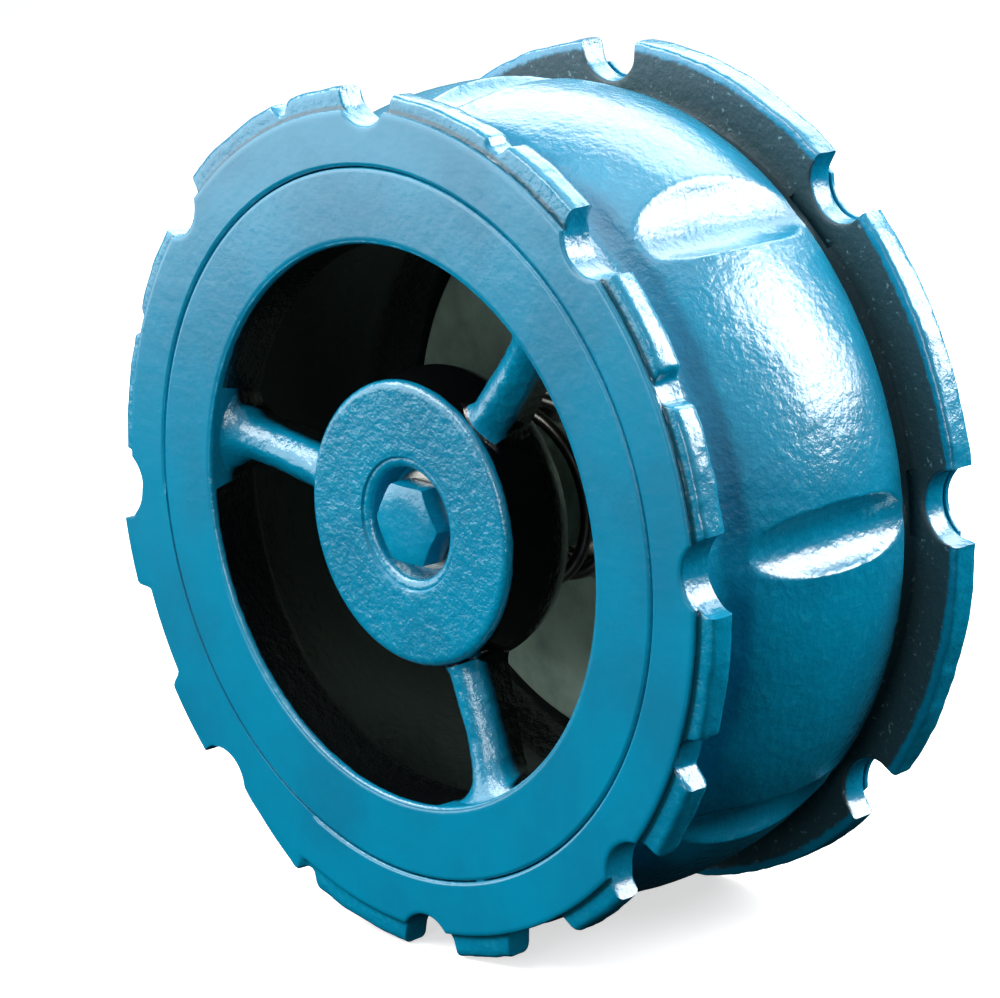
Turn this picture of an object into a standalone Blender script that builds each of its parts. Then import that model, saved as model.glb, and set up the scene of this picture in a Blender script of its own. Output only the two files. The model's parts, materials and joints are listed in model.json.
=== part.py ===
# Wafer check valve, DN 125, 90 mm face to face, centre guided, with a spring-closed disc.
# Every piece is modelled about a vertical flow axis, outlet face up, under one empty.
# The empty then tips the valve so that the flow axis lies along Y and the outlet looks at -Y.
import math

import bmesh
import bpy

MM = 0.001
GAP = 0.3

# Driving sizes, in millimetres. Heights are along the flow axis from the middle of the valve.
HALF_LENGTH = 45.0
FACE_R = 100.0
RIM_THICKNESS = 8.8
RIM_STEP = 1.6
INLET_LOBE_R = 106.5
NECK_R = 92.5
CROWN_R = 101.2
CROWN_HEIGHT = -3.0
CROWN_SWEEP = 70.0
BARREL_TOP = 23.0
BARREL_BOTTOM = -28.5

# Clearance notches for eight M16 flange bolts.
BOLT_COUNT = 8
BOLT_CIRCLE_R = 105.5
BOLT_NOTCH_R = 9.3

# Guide cage: the outlet ring, three spokes and the hub.
CAGE_R = 86.5
CAGE_THICKNESS = 13.7
OUTLET_R = 68.2
HUB_R = 34.9
HUB_FACE = 40.6
HUB_END = 20.0
SPOKE_FACE = 38.8
SPOKE_RISE_R = 50.0
SPOKE_RIM_FACE = 42.4
SPOKE_ANGLES = (47.0, 167.0, 287.0)
SPOKE_HALF_WIDTH = 4.9
POCKET_R = 26.0
POCKET_FLOOR = 28.5
COUNTERBORE_R = 13.7
COUNTERBORE_FLOOR = 32.6
WASHER_THICKNESS = 1.4
BOLT_FLATS = 19.0
BOLT_HEAD = 6.6
BOLT_HOLE_R = 6.4

# Chamber, seat and disc.
CHAMBER_R = 80.0
INLET_R = 62.5
SEAT_FACE = -33.3
SEAT_R = 74.7
SPIGOT_R = 70.0
SPIGOT_END = -40.6
DISC_R = 71.0
DISC_BACK = -29.0
SLEEVE_R = 15.5
SLEEVE_TOP = 7.1
PIN_R = 9.0
PIN_END = -5.5
SPRING_R = 22.3
SPRING_WIRE_R = 1.7
SPRING_TURNS = 6.25
SPRING_TOP = 26.4
SPRING_BOTTOM = -18.9
SCREW_COUNT = 6
SCREW_CIRCLE_R = 42.0
SCREW_START = 33.75

# Smoothness of turned pieces.
STEPS_BODY = 48
STEPS_LARGE = 48
STEPS_MEDIUM = 36
STEPS_SMALL = 16

# Outlet rim: the radius of each stretch of the cast outline, from one angle to the next.
# "lobe" keeps a radius, "gap" drops with steep ends, "scallop" dips, "ramp" climbs.
RIM_OUTLINE = (
    ("lobe", 0, 22, 103.5), ("gap", 22, 26, 100.0), ("lobe", 26, 45, 103.5),
    ("lobe", 45, 63.5, 105.5), ("gap", 63.5, 66.5, 102.0), ("lobe", 66.5, 90, 104.0),
    ("lobe", 90, 106.5, 105.5), ("gap", 106.5, 109, 102.5), ("lobe", 109, 135, 105.5),
    ("lobe", 135, 154, 104.0), ("gap", 154, 157.5, 101.5), ("lobe", 157.5, 180, 104.0),
    ("lobe", 180, 195, 106.0), ("scallop", 195, 209, 100.2), ("lobe", 209, 225, 105.5),
    ("ramp", 225, 242, 97.5), ("lobe", 242, 243.5, 105.0), ("gap", 243.5, 246, 102.5),
    ("lobe", 246, 270, 106.5), ("lobe", 270, 286, 106.5), ("scallop", 286, 299, 100.4),
    ("lobe", 299, 315, 105.5), ("lobe", 315, 332, 106.0), ("gap", 332, 338, 100.0),
    ("lobe", 338, 360, 104.5),
)


def clear_scene():
    for item in list(bpy.data.objects):
        bpy.data.objects.remove(item, do_unlink=True)


def new_collection(name):
    collection = bpy.data.collections.new(name)
    bpy.context.scene.collection.children.link(collection)
    return collection


def new_material(name, color, roughness, metallic):
    material = bpy.data.materials.new(name)
    material.use_nodes = True
    shader = material.node_tree.nodes["Principled BSDF"]
    shader.inputs["Base Color"].default_value = (*color, 1.0)
    shader.inputs["Roughness"].default_value = roughness
    shader.inputs["Metallic"].default_value = metallic
    return material


def on_circle(radius, degrees, height=0.0):
    angle = math.radians(degrees)
    return (radius * math.cos(angle), radius * math.sin(angle), height)


def arc(radius, start, end, count, center=(0.0, 0.0)):
    points = []
    for i in range(count + 1):
        x, y, _ = on_circle(radius, start + (end - start) * i / count)
        points.append((center[0] + x, center[1] + y))
    return points


def add_object(name, data, collection, material=None):
    item = bpy.data.objects.new(name, data)
    collection.objects.link(item)
    item.parent = STAND
    if material:
        data.materials.append(material)
    return item


def turned(name, profile, material, steps):
    """A profile of (radius, height) in millimetres, turned about the flow axis."""
    on_axis = profile[0][0] == 0.0
    mesh = bpy.data.meshes.new(name)
    points = [(r * MM, 0.0, h * MM) for r, h in profile]
    edges = [(i, i + 1) for i in range(len(points) - 1)]
    if not on_axis:
        edges.append((len(points) - 1, 0))
    mesh.from_pydata(points, edges, [])
    item = add_object(name, mesh, PARTS, material)
    screw = item.modifiers.new("turn", "SCREW")
    screw.axis = "Z"
    screw.angle = math.tau
    screw.steps = steps
    screw.render_steps = steps
    screw.use_merge_vertices = True
    screw.merge_threshold = 0.00001
    screw.use_smooth_shade = False
    return item


def flat_outline(name, outlines, low, high, collection):
    """Closed outlines in millimetres, filled and extruded between two heights, as a mesh."""
    curve = bpy.data.curves.new(name, "CURVE")
    curve.dimensions = "2D"
    curve.fill_mode = "BOTH"
    curve.resolution_u = 1
    curve.render_resolution_u = 0
    curve.extrude = (high - low) * 0.5 * MM
    for outline in outlines:
        spline = curve.splines.new("POLY")
        spline.points.add(len(outline) - 1)
        for point, (x, y) in zip(spline.points, outline):
            point.co = (x * MM, y * MM, 0.0, 1.0)
        spline.use_cyclic_u = True
    drawn = bpy.data.objects.new(name + "_curve", curve)
    collection.objects.link(drawn)
    bpy.context.view_layer.update()
    evaluated = drawn.evaluated_get(bpy.context.evaluated_depsgraph_get())
    mesh = bpy.data.meshes.new_from_object(evaluated)
    shell = bmesh.new()
    shell.from_mesh(mesh)
    bmesh.ops.remove_doubles(shell, verts=shell.verts, dist=0.000001)
    bmesh.ops.recalc_face_normals(shell, faces=shell.faces)
    shell.to_mesh(mesh)
    shell.free()
    bpy.data.objects.remove(drawn, do_unlink=True)
    item = add_object(name, mesh, collection)
    item.location = (0.0, 0.0, (low + high) * 0.5 * MM)
    return item


def cylinder(name, radius, low, high, center, collection, material=None, sides=STEPS_SMALL):
    mesh = bpy.data.meshes.new(name)
    shell = bmesh.new()
    bmesh.ops.create_cone(
        shell, cap_ends=True, segments=sides, radius1=radius * MM, radius2=radius * MM,
        depth=(high - low) * MM)
    shell.to_mesh(mesh)
    shell.free()
    item = add_object(name, mesh, collection, material)
    item.location = (center[0] * MM, center[1] * MM, (low + high) * 0.5 * MM)
    return item


def hide_cutter(item):
    item.hide_render = True
    item.display_type = "WIRE"
    return item


def boolean(item, other, operation="DIFFERENCE"):
    cut = item.modifiers.new(operation.lower(), "BOOLEAN")
    cut.operation = operation
    cut.solver = "EXACT"
    cut.object = other


def rim_radius_points():
    """The cast outline of the outlet rim, as points every few degrees along each stretch."""
    shoulder = 0.7
    points = []
    for kind, start, end, radius in RIM_OUTLINE:
        count = max(1, round((end - start) / 6.0))
        for i in range(count + 1):
            share = i / count
            angle = start + shoulder + (end - start - 2 * shoulder) * share
            reach = radius
            if kind == "scallop":
                reach = radius + 4.6 * abs(2 * share - 1) ** 2.5
            if kind == "ramp":
                reach = radius + 7.0 * share
            points.append(on_circle(reach, angle)[:2])
    return points


def valve_body():
    rim_in = HALF_LENGTH - RIM_THICKNESS
    lobe_face = HALF_LENGTH - RIM_STEP
    barrel = []
    count = 6
    for i in range(count + 1):
        height = BARREL_TOP + (BARREL_BOTTOM - BARREL_TOP) * i / count
        barrel.append((CROWN_R - (height - CROWN_HEIGHT) ** 2 / (2 * CROWN_SWEEP), height))
    cage_bottom = HALF_LENGTH - CAGE_THICKNESS
    profile = [
        (CAGE_R + 0.15 + 0.7, HALF_LENGTH), (FACE_R - 0.8, HALF_LENGTH), (FACE_R, HALF_LENGTH - 0.8),
        (FACE_R, rim_in + 1.2), (FACE_R - 2.0, rim_in), (NECK_R + 1.0, rim_in),
        (NECK_R, rim_in - 1.5), (NECK_R, 29.5), (NECK_R + 1.4, 26.0),
        *barrel,
        (NECK_R + 1.0, BARREL_BOTTOM - 1.4), (NECK_R, BARREL_BOTTOM - 3.0), (NECK_R, 1.0 - rim_in),
        (NECK_R + 1.5, -rim_in), (INLET_LOBE_R - 1.0, -rim_in), (INLET_LOBE_R, -rim_in - 1.0),
        (INLET_LOBE_R, -lobe_face + 1.0), (INLET_LOBE_R - 1.0, -lobe_face), (FACE_R, -lobe_face),
        (FACE_R, 0.8 - HALF_LENGTH), (FACE_R - 0.8, -HALF_LENGTH),
        (INLET_R + 1.0, -HALF_LENGTH), (INLET_R, 1.0 - HALF_LENGTH), (INLET_R, SPIGOT_END - GAP),
        (SPIGOT_R + GAP, SPIGOT_END - GAP), (SPIGOT_R + GAP, -37.2), (SEAT_R + GAP, -37.2),
        (SEAT_R + GAP, -33.0), (SEAT_R + 1.3, -33.0), (SEAT_R + 1.3, -30.9), (73.0, -30.9),
        (CHAMBER_R, -18.0), (CHAMBER_R, cage_bottom - GAP), (CAGE_R + 0.15, cage_bottom - GAP),
        (CAGE_R + 0.15, HALF_LENGTH - 0.7),
    ]
    body = turned("valve_body", profile, CAST, STEPS_BODY)
    inner = arc(FACE_R - 3.0, 0, 360 - 10, 35)
    rim = hide_cutter(flat_outline(
        "outlet_rim_blank", [rim_radius_points(), inner], rim_in + 0.05, lobe_face, CUTTERS))
    boolean(body, rim, "UNION")
    for k in range(BOLT_COUNT):
        center = on_circle(BOLT_CIRCLE_R, k * 360.0 / BOLT_COUNT)
        reach = HALF_LENGTH + 5.0
        cutter = cylinder(f"bolt_notch_{k + 1}", BOLT_NOTCH_R, -reach, reach, center, CUTTERS)
        boolean(body, hide_cutter(cutter))
    return body


def window_outline(first, second):
    """One flow window between two spokes: an annular sector with filleted corners."""
    outer_fillet = 7.0
    inner_fillet = 4.0
    outer_turn = math.degrees(math.asin((SPOKE_HALF_WIDTH + outer_fillet) / (OUTLET_R - outer_fillet)))
    inner_turn = math.degrees(math.asin((SPOKE_HALF_WIDTH + inner_fillet) / (HUB_R + inner_fillet)))
    a, b = first + outer_turn, second - outer_turn
    c, d = second - inner_turn, first + inner_turn
    outer_hub = OUTLET_R - outer_fillet
    inner_hub = HUB_R + inner_fillet
    points = arc(OUTLET_R, a, b, 12)
    points += arc(outer_fillet, b, second + 90.0, 4, on_circle(outer_hub, b)[:2])[1:]
    points += arc(inner_fillet, second + 90.0, c + 180.0, 3, on_circle(inner_hub, c)[:2])
    points += arc(HUB_R, c, d, 8)[1:]
    points += arc(inner_fillet, d + 180.0, first + 270.0, 3, on_circle(inner_hub, d)[:2])[1:]
    points += arc(outer_fillet, first - 90.0, a, 4, on_circle(outer_hub, a)[:2])[:-1]
    return points


def guide_cage():
    bottom = HALF_LENGTH - CAGE_THICKNESS
    profile = [
        (CAGE_R - 0.15 - 0.7, HALF_LENGTH), (CAGE_R - 0.15, HALF_LENGTH - 0.7),
        (CAGE_R - 0.15, bottom), (OUTLET_R + 2.0, bottom), (OUTLET_R - 6.0, bottom - 3.5),
        (HUB_R + 1.5, HUB_END + 4.0), (HUB_R - 0.8, HUB_END), (POCKET_R, HUB_END),
        (POCKET_R, POCKET_FLOOR), (BOLT_HOLE_R, POCKET_FLOOR), (BOLT_HOLE_R, COUNTERBORE_FLOOR),
        (COUNTERBORE_R, COUNTERBORE_FLOOR), (COUNTERBORE_R, HUB_FACE - 1.6),
        (COUNTERBORE_R + 2.9, HUB_FACE), (HUB_R - 1.4, HUB_FACE), (HUB_R, HUB_FACE - 1.4),
        (HUB_R + 0.2, SPOKE_FACE), (SPOKE_RISE_R, SPOKE_FACE),
        (OUTLET_R - 0.4, SPOKE_RIM_FACE), (OUTLET_R, HALF_LENGTH - 1.2),
        (OUTLET_R + 1.2, HALF_LENGTH),
    ]
    cage = turned("guide_cage", profile, CAST, STEPS_BODY)
    for k, first in enumerate(SPOKE_ANGLES):
        second = first + 120.0
        window = flat_outline(
            f"flow_window_{k + 1}", [window_outline(first, second)], HUB_END - 5.0,
            HALF_LENGTH + 5.0, CUTTERS)
        boolean(cage, hide_cutter(window))
    return cage


def cage_locking_pin(body, cage):
    angle = 284.0
    center = on_circle(CAGE_R, angle)
    top = HALF_LENGTH - 0.5
    hole = hide_cutter(cylinder("locking_pin_hole", 1.5 + GAP, 35.0, 50.0, center, CUTTERS, sides=12))
    boolean(body, hole)
    boolean(cage, hole)
    cylinder("cage_locking_pin", 1.5, 35.0 + GAP, top, center, PARTS, STEEL, sides=12)


def hex_screw(name, across_flats, head_low, head_high, shank_r, shank_end, center):
    """A hexagon head and its shank, joined, with the head on the side away from the shank end."""
    head_r = across_flats / math.sqrt(3.0)
    head = cylinder(name, head_r, head_low, head_high, center, PARTS, STEEL, sides=6)
    low, high = sorted((shank_end, (head_low + head_high) * 0.5))
    shank = cylinder(name + "_shank", shank_r, low, high, center, CUTTERS, sides=16)
    boolean(head, hide_cutter(shank), "UNION")
    return head


def guide_bolt():
    washer_low = COUNTERBORE_FLOOR + GAP
    washer_high = washer_low + WASHER_THICKNESS
    turned("bolt_lock_washer", [
        (BOLT_HOLE_R, washer_high), (12.2, washer_high), (12.2, washer_low), (BOLT_HOLE_R, washer_low),
    ], STEEL, STEPS_SMALL)
    head_low = washer_high + GAP
    hex_screw("guide_bolt", BOLT_FLATS, head_low, head_low + BOLT_HEAD, 5.9, 5.0, (0.0, 0.0))


def guide_pin():
    flange_top = POCKET_FLOOR - GAP
    turned("guide_pin", [
        (0.0, 3.5), (6.25, 3.5), (6.25, flange_top), (17.0, flange_top), (17.0, flange_top - 2.8),
        (PIN_R, flange_top - 2.8), (PIN_R, PIN_END + 1.0), (PIN_R - 1.0, PIN_END), (0.0, PIN_END),
    ], STEEL, STEPS_MEDIUM)


def springs_and_seats():
    seat_top = POCKET_FLOOR - GAP
    turned("front_spring_seat", [
        (17.6, seat_top), (25.6, seat_top), (25.6, seat_top - 1.5), (17.6, seat_top - 1.5),
    ], STEEL, STEPS_MEDIUM)
    turned("rear_spring_seat", [
        (16.2, -19.2), (25.8, -19.2), (25.8, -20.7), (16.2, -20.7),
    ], STEEL, STEPS_MEDIUM)
    curve = bpy.data.curves.new("closing_spring", "CURVE")
    curve.dimensions = "3D"
    curve.bevel_depth = SPRING_WIRE_R * MM
    curve.bevel_resolution = 2
    curve.render_resolution_u = 0
    curve.use_fill_caps = True
    spline = curve.splines.new("POLY")
    count = round(SPRING_TURNS * 12)
    spline.points.add(count)
    low, high = SPRING_BOTTOM + SPRING_WIRE_R, SPRING_TOP - SPRING_WIRE_R
    closed = 0.85 / SPRING_TURNS
    for i, point in enumerate(spline.points):
        share = i / count
        rise = min(max((share - closed) / (1.0 - 2.0 * closed), 0.0), 1.0)
        x, y, _ = on_circle(SPRING_R, 360.0 * SPRING_TURNS * share)
        point.co = (x * MM, y * MM, (low + (high - low) * rise) * MM, 1.0)
    add_object("closing_spring", curve, PARTS, SPRING_STEEL)


def valve_disc():
    disc = turned("valve_disc", [
        (0.0, -24.0), (9.6, -24.0), (9.6, -12.3), (12.0, -12.3), (12.0, SLEEVE_TOP),
        (SLEEVE_R - 0.8, SLEEVE_TOP), (SLEEVE_R, SLEEVE_TOP - 0.8), (SLEEVE_R, -21.0),
        (29.0, -21.0), (44.0, -24.2), (64.0, -26.8), (DISC_R - 1.0, -27.2), (DISC_R, -28.2),
        (DISC_R, -32.4), (68.8, -32.7), (68.8, DISC_BACK), (0.0, DISC_BACK),
    ], DISC_STEEL, STEPS_LARGE)
    for k in range(SCREW_COUNT):
        center = on_circle(SCREW_CIRCLE_R, SCREW_START + k * 360.0 / SCREW_COUNT)
        hole = cylinder(f"disc_hole_{k + 1}", 2.8, -35.0, -25.6, center, CUTTERS, sides=12)
        boolean(disc, hide_cutter(hole))
    turned("guide_bush", [
        (PIN_R + 0.06, SLEEVE_TOP - GAP), (11.7, SLEEVE_TOP - GAP), (11.7, -12.0), (PIN_R + 0.06, -12.0),
    ], BRONZE, STEPS_MEDIUM)


def disc_seal():
    turned("disc_seal_ring", [
        (60.0, DISC_BACK - GAP), (68.5, DISC_BACK - GAP), (68.5, -32.5), (68.0, -33.0), (60.0, -33.0),
    ], RUBBER, STEPS_LARGE)
    retainer = turned("seal_retainer", [
        (0.0, DISC_BACK - GAP), (59.7, DISC_BACK - GAP), (59.7, -33.3), (61.9, -33.3),
        (61.9, -35.2), (60.4, -36.5), (30.0, -36.5), (22.0, -38.2), (12.0, -39.2), (0.0, -39.6),
    ], DISC_STEEL, STEPS_MEDIUM)
    for k in range(SCREW_COUNT):
        center = on_circle(SCREW_CIRCLE_R, SCREW_START + k * 360.0 / SCREW_COUNT)
        hole = cylinder(f"retainer_hole_{k + 1}", 2.8, -45.0, -25.0, center, CUTTERS, sides=12)
        boolean(retainer, hide_cutter(hole))
        hex_screw(f"retainer_screw_{k + 1}", 8.0, -40.1, -36.8, 2.4, -26.2, center)


def seat():
    turned("seat_ring", [
        (INLET_R + 0.5, SEAT_FACE), (SEAT_R, SEAT_FACE), (SEAT_R, -36.9), (SPIGOT_R, -36.9),
        (SPIGOT_R, -37.5), (67.4, -37.5), (67.4, -40.0), (SPIGOT_R, -40.0), (SPIGOT_R, SPIGOT_END),
        (INLET_R, SPIGOT_END), (INLET_R, SEAT_FACE - 0.5),
    ], BRONZE, STEPS_LARGE)
    o_ring = [(68.9 + 1.05 * math.cos(-a), -38.75 + 1.05 * math.sin(-a))
              for a in (math.tau * i / 6 for i in range(6))]
    turned("seat_o_ring", o_ring, RUBBER, STEPS_MEDIUM)
    circlip = turned("seat_circlip", [
        (72.2, -31.2), (75.6, -31.2), (75.6, -33.0 + 0.02), (72.2, -33.0 + 0.02),
    ], SPRING_STEEL, STEPS_MEDIUM)
    slot = cylinder("circlip_gap", 4.0, -40.0, -20.0, on_circle(74.0, 270.0), CUTTERS, sides=4)
    boolean(circlip, hide_cutter(slot))


clear_scene()
PARTS = new_collection("wafer_check_valve")
CUTTERS = new_collection("cutters")
STAND = bpy.data.objects.new("flow_axis", None)
PARTS.objects.link(STAND)
STAND.rotation_euler = (math.radians(90.0), 0.0, 0.0)
CAST = new_material("painted_cast_iron", (0.0, 0.28, 0.48), 0.32, 0.0)
STEEL = new_material("zinc_steel", (0.45, 0.46, 0.47), 0.35, 1.0)
SPRING_STEEL = new_material("spring_steel", (0.40, 0.41, 0.42), 0.28, 1.0)
DISC_STEEL = new_material("disc_steel", (0.33, 0.35, 0.33), 0.45, 1.0)
BRONZE = new_material("bronze", (0.55, 0.38, 0.17), 0.38, 1.0)
RUBBER = new_material("black_rubber", (0.02, 0.02, 0.02), 0.6, 0.0)

BODY = valve_body()
CAGE = guide_cage()
cage_locking_pin(BODY, CAGE)
guide_bolt()
guide_pin()
springs_and_seats()
valve_disc()
disc_seal()
seat()
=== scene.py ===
import json
import math

import bmesh
import bpy
import numpy as np
from mathutils import Matrix, Vector, noise


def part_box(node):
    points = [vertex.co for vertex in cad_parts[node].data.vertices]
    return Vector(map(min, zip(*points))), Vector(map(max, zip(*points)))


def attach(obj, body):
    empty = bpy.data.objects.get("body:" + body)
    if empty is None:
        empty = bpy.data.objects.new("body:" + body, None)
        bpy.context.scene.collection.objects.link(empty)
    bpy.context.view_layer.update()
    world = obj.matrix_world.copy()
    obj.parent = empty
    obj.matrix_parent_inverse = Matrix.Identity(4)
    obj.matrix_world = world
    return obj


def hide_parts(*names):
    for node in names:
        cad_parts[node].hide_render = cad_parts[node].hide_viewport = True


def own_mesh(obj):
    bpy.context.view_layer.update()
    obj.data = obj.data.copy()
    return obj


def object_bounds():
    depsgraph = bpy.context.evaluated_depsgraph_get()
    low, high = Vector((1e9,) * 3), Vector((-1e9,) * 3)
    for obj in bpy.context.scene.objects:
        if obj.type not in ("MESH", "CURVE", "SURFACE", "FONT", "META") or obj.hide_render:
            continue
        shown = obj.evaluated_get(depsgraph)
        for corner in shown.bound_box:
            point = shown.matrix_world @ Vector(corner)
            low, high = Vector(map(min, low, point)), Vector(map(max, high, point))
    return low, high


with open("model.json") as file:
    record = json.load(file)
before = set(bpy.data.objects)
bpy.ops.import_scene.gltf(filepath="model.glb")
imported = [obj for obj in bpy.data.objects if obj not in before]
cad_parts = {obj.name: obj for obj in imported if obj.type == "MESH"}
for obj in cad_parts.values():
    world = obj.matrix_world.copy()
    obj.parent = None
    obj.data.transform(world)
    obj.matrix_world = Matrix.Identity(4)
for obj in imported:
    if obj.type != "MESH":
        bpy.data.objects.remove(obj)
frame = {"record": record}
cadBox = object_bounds()
mm = 0.001
outletFace = -cadBox[0][1] / mm  # heights are measured along the flow axis from mid-valve, outlet side up
# pieces are turned in millimetres about +Z, then tipped so that the outlet faces -Y
toRow = Matrix.Rotation(math.radians(90.0), 4, "X") @ Matrix.Scale(mm, 4)

bpy.context.scene.view_settings.view_transform = "Standard"
bpy.context.scene.view_settings.look = "None"

# camera

cameraView = {
    "azimuth": 47.913,
    "elevation": 12.192,
    "roll": -4.193,
    "distance": 1.064,
    "aim": (-0.00484, -0.00575, -0.00121),
    "lens": 156.76,
}


def aimAt(item, azimuth, elevation, distance, aim=(0, 0, 0), roll=0.0):
    a, e = math.radians(azimuth), math.radians(elevation)
    out = Vector((math.sin(a) * math.cos(e), -math.cos(a) * math.cos(e), math.sin(e)))
    turn = out.to_track_quat("Z", "Y").to_matrix().to_4x4() @ Matrix.Rotation(math.radians(roll), 4, "Z")
    item.matrix_world = Matrix.Translation(Vector(aim) + out * distance) @ turn


def placeCamera(view):
    data = bpy.data.cameras.new("camera")
    data.lens = view["lens"]
    data.sensor_width = 36.0
    data.clip_start = 0.01
    camera = bpy.data.objects.new("camera", data)
    bpy.context.scene.collection.objects.link(camera)
    aimAt(camera, view["azimuth"], view["elevation"], view["distance"], view["aim"], view["roll"])
    bpy.context.scene.camera = camera


placeCamera(cameraView)
print("camera ready")

# shader helpers


class Wire:
    def __init__(self, finish, socket):
        self.finish = finish
        self.socket = socket

    def maths(self, operation, first, second=None, clamp=False):
        values = {0: first} if second is None else {0: first, 1: second}
        return self.finish.node("Math", {"operation": operation, "use_clamp": clamp}, values)

    def __add__(self, other):
        return self.maths("ADD", self, other)

    def __sub__(self, other):
        return self.maths("SUBTRACT", self, other)

    def __mul__(self, other):
        return self.maths("MULTIPLY", self, other)

    def __truediv__(self, other):
        return self.maths("DIVIDE", self, other)

    def __rsub__(self, other):
        return self.maths("SUBTRACT", other, self)

    def __radd__(self, other):
        return self.maths("ADD", other, self)

    def __rmul__(self, other):
        return self.maths("MULTIPLY", other, self)

    def __abs__(self):
        return self.maths("ABSOLUTE", self)

    def __pow__(self, other):
        return self.maths("POWER", self, other)


class Finish:
    def __init__(self, name, tree=None):
        if tree is None:
            self.material = bpy.data.materials.new(name)
            self.material.use_nodes = True
            tree = self.material.node_tree
            self.shader = tree.nodes["Principled BSDF"]
        self.tree = tree
        self.place = None

    def node(self, kind, settings=None, values=None, output=0):
        item = self.tree.nodes.new("ShaderNode" + kind)
        for key, value in (settings or {}).items():
            if key == "stops":
                elements = item.color_ramp.elements
                while len(elements) < len(value):
                    elements.new(0.5)
                for stop, (position, color) in zip(elements, value):
                    stop.position = position
                    stop.color = (*color, 1.0)
            else:
                setattr(item, key, value)
        for key, value in (values or {}).items():
            self.plug(item.inputs[key], value)
        return Wire(self, item.outputs[output])

    def plug(self, socket, value):
        if isinstance(value, Wire):
            self.tree.links.new(value.socket, socket)
        elif socket.type == "RGBA":
            socket.default_value = (*value, 1.0)
        else:
            socket.default_value = value

    def set(self, **values):
        for key, value in values.items():
            self.plug(self.shader.inputs[key.replace("_", " ")], value)

    def spot(self):
        if self.place is None:
            self.place = self.node("TexCoord", None, None, "Object")
        return self.place

    def axes(self):
        # x, height along the flow axis from the outlet (negative y), z, and the distance from the axis, in mm
        split = self.node("SeparateXYZ", None, {0: self.spot()})
        parts = [Wire(self, split.socket.node.outputs[i]) * 1000.0 for i in range(3)]
        x, height, z = parts[0], parts[1] * -1.0, parts[2]
        return x, height, z, (x * x + z * z) ** 0.5

    def speckle(self, scale, detail=3.0, roughness=0.5, place=None, distortion=0.0):
        return self.node("TexNoise", None, {
            "Vector": place or self.spot(), "Scale": scale, "Detail": detail,
            "Roughness": roughness, "Distortion": distortion})

    def step(self, value, low, high, first=0.0, last=1.0):
        return self.node("MapRange", {"interpolation_type": "SMOOTHSTEP"}, {
            "Value": value, "From Min": low, "From Max": high, "To Min": first, "To Max": last})

    def between(self, value, edge):
        return self.step(value, edge[0], edge[1])

    def below(self, value, depths):
        # the same, with the edge given as depths below a valve face
        return self.step(value, outletFace - depths[0], outletFace - depths[1])

    def mix(self, factor, first, last):
        item = self.node("Mix", {"data_type": "RGBA"}).socket.node
        self.plug(item.inputs[0], factor)
        self.plug(item.inputs[6], first)
        self.plug(item.inputs[7], last)
        return Wire(self, item.outputs[2])

    def bump(self, height, distance, strength=1.0, normal=None):
        values = {"Height": height, "Distance": distance, "Strength": strength}
        if normal:
            values["Normal"] = normal
        return self.node("Bump", None, values, "Normal")


# finishes

cageArms = (47.0, 167.0, 287.0)  # angles of the cage arms round the axis
paint = {
    "blue": (0.0, 0.272, 0.462),
    "bumpHighlight": (0.010, 0.350, 0.530),  # painted highlight: lighter blue on the tops of the cast bumps
    "deep": (0.0, 0.215, 0.375),
    "dust": (0.250, 0.420, 0.480),
    # painted shade: near black for the waterway walls and the shaded sides of the hub and arms
    "shadeBlack": (0.0012, 0.0018, 0.0024),
    # painted shade: dark teal for the groove behind the barrel and the crease at the lobes
    "shadeTeal": (0.002, 0.048, 0.066),
    # painted glints: pale specks for light caught by the rough cast in the shaded groove
    "paintedGlint": (0.160, 0.340, 0.390),
    "specular": 0.95,
    "coat": 0.25,
    "coatRoughness": 0.22,
    "roughness": 0.21,
}

# where the machined faces and the patches of painted shade start and end, in mm; each pair is a soft edge
paintAndShadeEdges = {
    "outletFaced": (0.35, 0.08),  # depths below the outlet face
    "inletFaced": (1.3, 0.9),
    "facedRadius": (62.0, 66.0),
    "boreRadius": (86.6, 86.9),
    "outletMouth": (1.0, 0.6),
    "inletMouth": (1.6, 1.2),
    "grooveFront": (28.9, 30.2),
    "grooveBack": (36.5, 37.2),
    "grooveInner": (90.0, 92.0),
    "grooveOuter": (103.4, 104.6),
    "creaseInner": (99.6, 99.95),
    "creaseOuter": (100.5, 101.4),
    "creaseTop": (44.1, 44.4),
    "creaseBottom": (42.8, 43.2),
    "armSide": (7.2, 5.6),
    "armStart": (20.0, 30.0),
    "armFlare": (60.0, 68.0),
    "hubSide": (34.98, 35.3),
    "hubTurn": (35.0, 36.0),
    "hubBore": (17.5, 18.0),
    "ringDepth": 1.3,
    "armDepth": 9.2,
    "armMouth": (64.5, 67.3),
    "armMouthDepth": 5.5,
    "armFlareWidth": 6.5,
    "hubLine": 38.9,
}


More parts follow.
